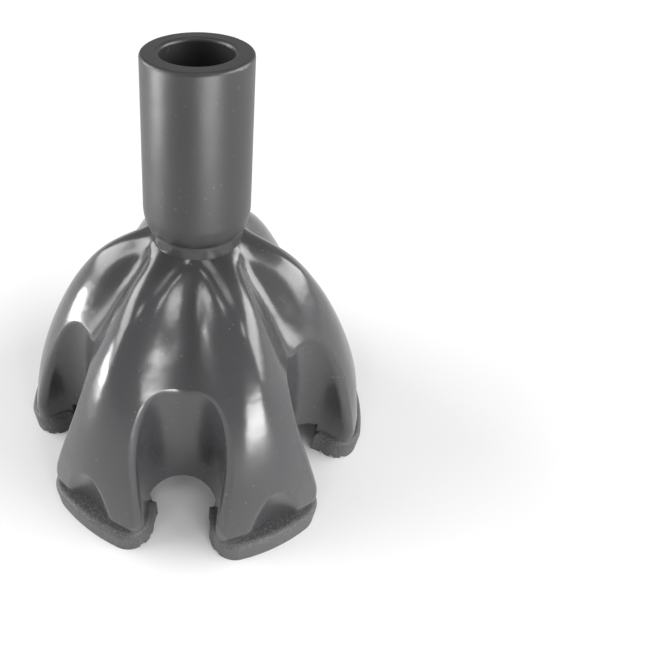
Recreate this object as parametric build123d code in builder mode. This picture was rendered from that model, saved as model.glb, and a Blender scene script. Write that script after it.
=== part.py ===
from build123d import *
import os
from math import cos, radians

# Six-legged rubber tip for a walking cane, in millimetres.
# The axis of the socket is +Z and the origin is on the ground, on that axis.
# One leg points along +X, and the slots lie midway between the legs.

# Driving dimensions: feet and legs
leg_count = 6
foot_radius = 57.0  # reach of the soles from the axis
sole_height = 9.0  # top of the matte ledge round each foot
sole_inner_radius = 43.0  # where the soles end under the legs
sole_corner_radius = 7.4
sole_edge_radius = 1.8  # rounding of the upper edge of a sole
body_lift = 4.0  # lower edge of the legs inside the soles
arch_height = 12.0  # underside of the hub, between the legs
ledge_width = 2.3  # flat ledge outside the ends of a leg
scallop_depth = 3.0  # how far the end of a leg curves in behind its ledge
scallop_radius = 13.5
leg_corner_radius = 3.5

# Driving dimensions: slots between the legs
slot_inner_radius = 35.5  # inner end of a slot, from the axis
slot_width = 19.4  # at the lower edge of the body
slot_draft = 4.0  # lean of the slot's walls, in degrees
slot_height_share = 0.75  # height that the slots are cut to, clear above their rims
sole_overhang = 1.2  # how far a sole stands out into the slot
lip_radius = 2.7  # rounding of the rim along the slots and feet

# Driving dimensions: hub, neck and socket
hub_height = 75.0  # where the neck leaves the hub
neck_radius = 12.0
neck_height = 5.0
socket_base_radius = 13.4
socket_top_radius = 11.8
socket_round = 5.0  # height of the rounded lower end of the socket's wall
socket_rim_round = 0.8
overall_height = 120.0

# Driving dimensions: bore for the cane and the washer at its bottom
bore_radius = 7.8
bore_depth = 54.0
washer_radius = 9.6
washer_hole_radius = 3.5
washer_thickness = 1.6

# Driving dimensions: hollow underside and treads
hollow_radius = 28.5
hollow_spring_height = 30.0  # where the hollow's wall turns into its sloping roof
hollow_roof_radius = 10.0
hollow_roof_height = 52.0
tread_depth = 1.0
tread_width = 1.4
tread_radii = (46.8, 50.2, 53.6)

# Shape of the fluted hub: each slice is (share of the height, share of the reach at a
# ridge, share of the reach in a valley, fullness of the legs).
dome_slices = (
    (1.04, -0.05, -0.05, 0.00),
    (0.99, 0.10, 0.04, 0.00),
    (0.94, 0.26, 0.09, 0.02),
    (0.88, 0.38, 0.17, 0.04),
    (0.80, 0.49, 0.27, 0.06),
    (0.70, 0.60, 0.40, 0.08),
    (0.58, 0.71, 0.55, 0.08),
    (0.45, 0.81, 0.69, 0.08),
    (0.30, 0.90, 0.83, 0.08),
    (0.14, 0.965, 0.94, 0.06),
    (0.00, 1.02, 1.00, 0.04),
)

leg_angle = 360 / leg_count
leg_reach = foot_radius - ledge_width
slot_radius = slot_width / 2
slot_centre = slot_inner_radius + slot_radius
slot_length = foot_radius
slot_top = slot_height_share * hub_height
sole_slot_radius = slot_radius - sole_overhang
neck_top = hub_height + neck_height
bore_bottom = overall_height - bore_depth


def edge_radius(edge):
    """Distance of an edge's middle from the axis."""
    return Vector(edge.center().X, edge.center().Y).length


def is_leg_corner(edge):
    """True for the tall edges at the end of a leg."""
    return edge_radius(edge) > leg_reach - 2 and edge.bounding_box().size.Z > (slot_top - body_lift) / 2


def dome_radius(angle, ridge, valley, fullness):
    """Radius of a fluted slice: one wave for each leg, with its crest made fuller."""
    wave = (1 + cos(radians(leg_count * angle))) / 2
    crest = (1 - cos(radians(2 * leg_count * angle))) / 2
    return valley + (ridge - valley) * (wave + fullness * crest)


# Soles: six pads with a ledge round the end of each leg, treads below
with BuildPart() as soles:
    with BuildSketch():
        Circle(foot_radius)
        Circle(sole_inner_radius, mode=Mode.SUBTRACT)
        with PolarLocations(slot_centre, leg_count, start_angle=leg_angle / 2):
            Circle(sole_slot_radius, mode=Mode.SUBTRACT)
        with PolarLocations(slot_centre + foot_radius / 2, leg_count, start_angle=leg_angle / 2):
            Rectangle(foot_radius, 2 * sole_slot_radius, mode=Mode.SUBTRACT)
    extrude(amount=sole_height)
    corners = soles.edges().filter_by(Axis.Z)
    fillet(corners.filter_by(lambda edge: edge_radius(edge) > foot_radius - 1), sole_corner_radius)
    fillet(soles.faces().filter_by(Axis.Z).sort_by(Axis.Z)[-leg_count:].edges(), sole_edge_radius)
    for tread_radius in tread_radii:
        with BuildSketch():
            Circle(tread_radius + tread_width / 2)
            Circle(tread_radius - tread_width / 2, mode=Mode.SUBTRACT)
        extrude(amount=tread_depth, mode=Mode.SUBTRACT)

# Hub and legs: a fluted dome, trimmed to the plan of the legs and rounded along its rim
with BuildPart() as hub:
    with BuildSketch(Plane.XY.offset(body_lift)):
        Circle(leg_reach)
        with PolarLocations(leg_reach - scallop_depth + scallop_radius, leg_count):
            Circle(scallop_radius, mode=Mode.SUBTRACT)
    extrude(amount=slot_top - body_lift)
    with BuildSketch(Plane.XY.offset(body_lift)):
        with PolarLocations(slot_centre + slot_length / 2, leg_count, start_angle=leg_angle / 2):
            SlotCenterToCenter(slot_length, slot_width)
    extrude(amount=slot_top - body_lift, taper=-slot_draft, mode=Mode.SUBTRACT)
    corners = hub.edges().filter_by(is_leg_corner)
    fillet(corners, leg_corner_radius)
    with BuildSketch(Plane.XY.offset(slot_top)):
        Circle(foot_radius)
    extrude(amount=hub_height)

    for height_share, ridge_share, valley_share, fullness in dome_slices:
        ridge = neck_radius + ridge_share * (foot_radius - neck_radius)
        valley = neck_radius + valley_share * (foot_radius - neck_radius)
        with BuildSketch(Plane.XY.offset(height_share * hub_height)):
            with BuildLine():
                Spline(
                    *[
                        Vector(dome_radius(angle, ridge, valley, fullness), 0).rotate(Axis.Z, angle)
                        for angle in range(0, 360, 10)
                    ],
                    periodic=True,
                )
            make_face()
    loft(mode=Mode.INTERSECT)

    fluted_surface = hub.faces().sort_by(SortBy.AREA)[-1]
    walls = hub.faces().filter_by(lambda face: abs(face.normal_at().Z) < 0.3)
    fillet([edge for edge in fluted_surface.edges() if edge in walls.edges()], lip_radius)

# The body is one moulding: hub, soles, neck and socket
with BuildPart() as tip_body:
    add(hub.part)
    add(soles.part)
    with BuildSketch(Plane.XZ) as socket_profile:
        with BuildLine():
            Polyline(
                (neck_radius, neck_top),
                (neck_radius, hub_height - neck_height),
                (0, hub_height - neck_height),
                (0, overall_height),
                (socket_top_radius, overall_height),
                (socket_base_radius, neck_top + socket_round),
            )
            EllipticalCenterArc(
                (neck_radius, neck_top + socket_round),
                socket_base_radius - neck_radius,
                socket_round,
                start_angle=270,
                arc_size=90,
            )
        make_face()
    revolve(axis=Axis.Z)

    # Bore for the cane, and the closed seat that the washer is moulded into
    with BuildSketch(Plane.XY.offset(overall_height)):
        Circle(bore_radius)
    extrude(amount=-bore_depth, mode=Mode.SUBTRACT)
    with BuildSketch(Plane.XY.offset(bore_bottom)):
        Circle(washer_radius)
    extrude(amount=-washer_thickness, mode=Mode.SUBTRACT)
    fillet(tip_body.faces().sort_by(Axis.Z)[-1].edges(), socket_rim_round)

    # Arched underside between the legs
    with BuildSketch():
        Circle(sole_inner_radius)
    extrude(amount=arch_height, mode=Mode.SUBTRACT)

    # Hollow under the hub, open below, with a sloping roof
    with BuildSketch(Plane.XZ):
        with BuildLine():
            Polyline(
                (0, hollow_roof_height),
                (0, 0),
                (hollow_radius, 0),
                (hollow_radius, hollow_spring_height),
                (hollow_roof_radius, hollow_roof_height),
                close=True,
            )
        make_face()
    revolve(axis=Axis.Z, mode=Mode.SUBTRACT)

# Steel washer that the end of the cane stands on
with BuildPart() as washer:
    with BuildSketch(Plane.XY.offset(bore_bottom)):
        Circle(washer_radius)
        Circle(washer_hole_radius, mode=Mode.SUBTRACT)
    extrude(amount=-washer_thickness)

tip_body.part.label = "tip_body"
washer.part.label = "washer"

os.makedirs("parts", exist_ok=True)
export_step(tip_body.part, "parts/tip_body.step")
export_step(washer.part, "parts/washer.step")
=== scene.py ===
import math

import bmesh
import bpy
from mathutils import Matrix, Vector

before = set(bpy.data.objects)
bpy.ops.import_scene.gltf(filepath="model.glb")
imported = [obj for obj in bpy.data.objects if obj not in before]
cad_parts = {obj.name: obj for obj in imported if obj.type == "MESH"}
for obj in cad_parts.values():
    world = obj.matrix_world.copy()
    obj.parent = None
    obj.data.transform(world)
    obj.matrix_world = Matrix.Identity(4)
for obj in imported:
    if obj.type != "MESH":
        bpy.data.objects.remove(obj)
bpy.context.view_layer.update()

# The tip itself: one moulding of dark grey rubber, with the socket, the hub, its six legs
# and their soles all pressed together in a heated steel mould. The mould is polished over
# the hub and legs, satin in the socket, and blasted at the soles.


class Number:
    """A shader value that adds its Math nodes as it is used in a sum."""

    def __init__(self, wiring, socket):
        self.wiring = wiring
        self.socket = socket

    def reckon(self, operation, *values):
        made = self.wiring.node("ShaderNodeMath", {"operation": operation}, values)
        return Number(self.wiring, made.outputs[0])

    def __add__(self, other):
        return self.reckon("ADD", self, other)

    __radd__ = __add__

    def __sub__(self, other):
        return self.reckon("SUBTRACT", self, other)

    def __rsub__(self, other):
        return self.reckon("SUBTRACT", other, self)

    def __mul__(self, other):
        return self.reckon("MULTIPLY", self, other)

    __rmul__ = __mul__

    def __pow__(self, other):
        return self.reckon("POWER", self, other)

    def step(self, start, end):
        """0 below start and 1 above end, with a soft rise between them."""
        settings = {"interpolation_type": "SMOOTHSTEP", "clamp": True}
        sockets = {"Value": self, "From Min": start, "From Max": end}
        made = self.wiring.node("ShaderNodeMapRange", settings, sockets)
        return Number(self.wiring, made.outputs[0])


class Wiring:
    """The node tree of one material or world, and how its nodes are added and joined."""

    def __init__(self, tree):
        self.tree = tree

    def node(self, kind, settings=None, sockets=None):
        """Adds one node: its settings first, then the values or links of its sockets."""
        made = self.tree.nodes.new(kind)
        for name, value in (settings or {}).items():
            setattr(made, name, value)
        given = sockets.items() if isinstance(sockets, dict) else enumerate(sockets or ())
        for name, value in given:
            self.feed(made, name, value)
        return made

    def feed(self, node, name, value):
        """Gives a node's socket a value, or links another node's output to it."""
        value = value.socket if isinstance(value, Number) else value
        if isinstance(value, bpy.types.NodeSocket):
            self.tree.links.new(value, node.inputs[name])
        else:
            node.inputs[name].default_value = value


class Finish(Wiring):
    """A material, with its main shader and its place on the piece in metres."""

    def __init__(self, name):
        self.material = bpy.data.materials.new(name)
        self.material.use_nodes = True
        super().__init__(self.material.node_tree)
        self.place = self.node("ShaderNodeTexCoord").outputs["Object"]
        split = self.node("ShaderNodeSeparateXYZ", {}, [self.place])
        self.x, self.y, self.z = (Number(self, split.outputs[axis]) for axis in "XYZ")

    def noise(self, per_metre, detail=2.0, roughness=0.5, place=None):
        """Noise with so many lumps in a metre, as a value about 0.5."""
        sockets = {
            "Vector": place or self.place,
            "Scale": per_metre,
            "Detail": detail,
            "Roughness": roughness,
        }
        return Number(self, self.node("ShaderNodeTexNoise", {}, sockets).outputs[0])

    def mix_colours(self, share, first, second):
        """Colour between two others. Mix has sockets of one name, so they go by number."""
        sockets = {0: share, 6: first, 7: second}
        return self.node("ShaderNodeMix", {"data_type": "RGBA"}, sockets).outputs[2]

    def bump(self, height, distance, strength=1.0, under=None):
        """A bumpy surface, laid over the one given as under."""
        sockets = {"Height": height, "Distance": distance, "Strength": strength}
        if under is not None:
            sockets["Normal"] = under
        return self.node("ShaderNodeBump", {}, sockets).outputs["Normal"]

    def surface(self, **sockets):
        """Feeds the main shader, with each socket's name written with underscores."""
        shader = self.tree.nodes["Principled BSDF"]
        for name, value in sockets.items():
            self.feed(shader, name.replace("_", " "), value)

    def cover(self, node_name):
        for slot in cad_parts[node_name].material_slots:
            slot.material = self.material


def grey(level, blue=0.0):
    """A neutral rubber colour, with a little more blue where it is polished."""
    return (level, level, level + blue, 1.0)


sole_top = 0.0092
sole_edge = 0.0002  # how far the blasting runs past the top of a sole
leg_inside = 0.0425  # distance from the axis where the soles begin
leg_fade = 0.0008
neck_foot, neck_full, neck_fade, neck_top = 0.0715, 0.0750, 0.0790, 0.0825
socket_foot, socket_fade = 0.0785, 0.0797

rubber = Finish("moulded_rubber")
reach = (rubber.x * rubber.x + rubber.y * rubber.y) ** 0.5
is_low = 1 - rubber.z.step(sole_top - sole_edge, sole_top + sole_edge)
is_sole = is_low * reach.step(leg_inside, leg_inside + leg_fade)
is_socket = rubber.z.step(socket_foot, socket_fade)
# Painted shade: a band round the neck, where the socket sinks into the hub, is darkened in the colour
# as if shadowed.
is_painted_neck_shade = rubber.z.step(neck_foot, neck_full) * (1 - rubber.z.step(neck_fade, neck_top))

cloud = rubber.noise(per_metre=38.0, detail=3.0)
drift = rubber.noise(per_metre=150.0, detail=3.0, roughness=0.6)
grain = rubber.noise(per_metre=2600.0, roughness=0.6)

polished, satin, blasted = grey(0.032, 0.002), grey(0.014, 0.001), grey(0.026, 0.001)
painted_neck_shade, faded, grain_tip, speck = grey(0.017), grey(0.085), grey(0.14), grey(0.17)
colour = rubber.mix_colours(is_socket, polished, satin)
colour = rubber.mix_colours(is_sole, colour, blasted)
# Painted shade darkens the neck band.
colour = rubber.mix_colours(is_painted_neck_shade * 0.8, colour, painted_neck_shade)
colour = rubber.mix_colours((cloud - 0.5) * 0.2 + 0.05, colour, faded)
is_grain_tip = is_sole * (grain - 0.45).step(0.0, 0.25)
colour = rubber.mix_colours(is_grain_tip * 0.6, colour, grain_tip)
is_speck = rubber.noise(per_metre=1300.0, detail=0.0).step(0.79, 0.84) * (1 - is_sole)
colour = rubber.mix_colours(is_speck * 0.25, colour, speck)

polish, socket_dulling, sole_dulling = 0.21, 0.20, 0.42
roughness = polish + (drift - 0.5) * 0.08 + is_socket * socket_dulling + is_sole * sole_dulling

sway_depth, skin_depth, grain_depth = 0.00012, 0.000008, 0.00012
sway = rubber.bump(rubber.noise(per_metre=130.0), sway_depth)
skin = rubber.bump(rubber.noise(per_metre=700.0) * (1 - is_sole), skin_depth, under=sway)
pitted = rubber.bump(grain * is_sole, grain_depth, strength=0.9, under=skin)
rubber.surface(Base_Color=colour, Roughness=roughness, Normal=pitted, IOR=1.52, Specular_IOR_Level=0.53)
rubber.cover("tip_body")

# The washer: a stamped ring of plain steel, moulded into the floor of the socket so that
# the cane can't punch through. It is dulled and a little browned by the hot rubber.
clean_steel, browned_steel = (0.60, 0.57, 0.53, 1.0), (0.42, 0.36, 0.30, 1.0)
tool_mark_depth = 0.00003

steel = Finish("steel_washer")
flattened = steel.node("ShaderNodeMapping", {}, {"Vector": steel.place, "Scale": (1, 1, 6)}).outputs[0]
tool_marks = steel.noise(per_metre=900.0, place=flattened)
stain = steel.noise(per_metre=260.0, detail=3.0, roughness=0.6)
steel.surface(
    Base_Color=steel.mix_colours(stain.step(0.35, 0.7), clean_steel, browned_steel),
    Metallic=1.0,
    Roughness=0.30 + stain * 0.22,
    Normal=steel.bump(tool_marks, tool_mark_depth),
)
steel.cover("washer")

# The floor: a sheet of plain pale studio paper that the tip stands on. It is one flat
# sheet, and lies a hair below the soles so that the two never share a plane.
paper_reach = 3.0
paper_gap = 0.0002

sheet = bmesh.new()
bmesh.ops.create_grid(sheet, x_segments=1, y_segments=1, size=paper_reach)
bmesh.ops.translate(sheet, vec=(0.0, 0.0, -paper_gap), verts=sheet.verts)
paper_mesh = bpy.data.meshes.new("paper_floor")
sheet.to_mesh(paper_mesh)
sheet.free()
paper = Finish("white_paper")
paper.surface(Base_Color=grey(0.72), Roughness=0.8)
paper_mesh.materials.append(paper.material)
floor = bpy.data.objects.new("paper_floor", paper_mesh)
bpy.context.scene.collection.objects.link(floor)

# The lights: a dim white tent with a brighter backdrop, and soft boxes outside the picture.
# Two low strips light the front legs, two big panels the side legs and the floor, and three
# small boxes the neck.
tent_glow, backdrop_glow = 0.43, 0.88

tent = bpy.data.worlds.new("white_tent")
tent.use_nodes = True
tent_wiring = Wiring(tent.node_tree)
is_backdrop = Number(tent_wiring, tent_wiring.node("ShaderNodeLightPath").outputs["Is Camera Ray"])
glow = tent_glow + is_backdrop * (backdrop_glow - tent_glow)
tent_wiring.feed(tent.node_tree.nodes["Background"], "Color", (1.0, 1.0, 1.0, 1.0))
tent_wiring.feed(tent.node_tree.nodes["Background"], "Strength", glow)
bpy.context.scene.world = tent
bpy.context.scene.view_settings.view_transform = "Standard"

lit_point = Vector((0.0, 0.0, 0.045))  # the middle of the hub


def hang_light(name, bearing, rise, distance, width, height, watts):
    """A soft box aimed at the hub: its bearing from the front and its rise are in degrees."""
    lamp = bpy.data.lights.new(name, "AREA")
    lamp.shape = "RECTANGLE"
    lamp.size, lamp.size_y, lamp.energy = width, height, watts
    turn, lift = math.radians(bearing), math.radians(rise)
    level = math.cos(lift)
    outwards = Vector((math.sin(turn) * level, -math.cos(turn) * level, math.sin(lift)))
    soft_box = bpy.data.objects.new(name, lamp)
    soft_box.location = lit_point + outwards * distance
    soft_box.rotation_euler = (-outwards).to_track_quat("-Z", "Y").to_euler()
    soft_box.visible_camera = False
    bpy.context.scene.collection.objects.link(soft_box)


hang_light("front_left_strip", -76.0, -2.0, 0.40, 0.15, 0.055, 1.0)
hang_light("front_right_strip", 31.0, 0.0, 0.40, 0.22, 0.080, 1.15)
hang_light("left_panel", -94.0, 22.0, 3.20, 3.50, 1.44, 125.0)
hang_light("right_panel", 90.0, 21.0, 3.20, 3.70, 1.44, 155.0)
hang_light("upper_left_box", -36.0, 50.0, 3.20, 0.48, 0.40, 6.9)
hang_light("upper_right_box", 42.0, 40.0, 3.20, 0.56, 0.48, 8.0)
hang_light("overhead_box", 30.0, 76.0, 3.60, 1.20, 0.88, 13.7)

# The camera: close to the tip and well above it, looking down past the socket into the
# front slot. The tip stands to the left of the picture, so the lens is shifted sideways
# just enough to keep the socket upright there.
picture_width = 672  # pixels
tip_column = 196  # pixels from the left edge to the axis of the socket
focal_length = 529  # pixels
sensor_width = 36.0  # millimetres
eye = (0.0110, -0.1135, 0.1580)
heading, pitch = math.radians(5.65), math.radians(46.76)
nearest, farthest = 0.005, 50.0

lens = bpy.data.cameras.new("camera")
lens.sensor_width = sensor_width
lens.lens = sensor_width * focal_length / picture_width
lens.shift_x = (picture_width / 2 - tip_column) / picture_width
lens.clip_start, lens.clip_end = nearest, farthest
camera = bpy.data.objects.new("camera", lens)
camera.location = eye
camera.rotation_euler = (math.radians(90) - pitch, 0.0, heading)
bpy.context.scene.collection.objects.link(camera)
bpy.context.scene.camera = camera
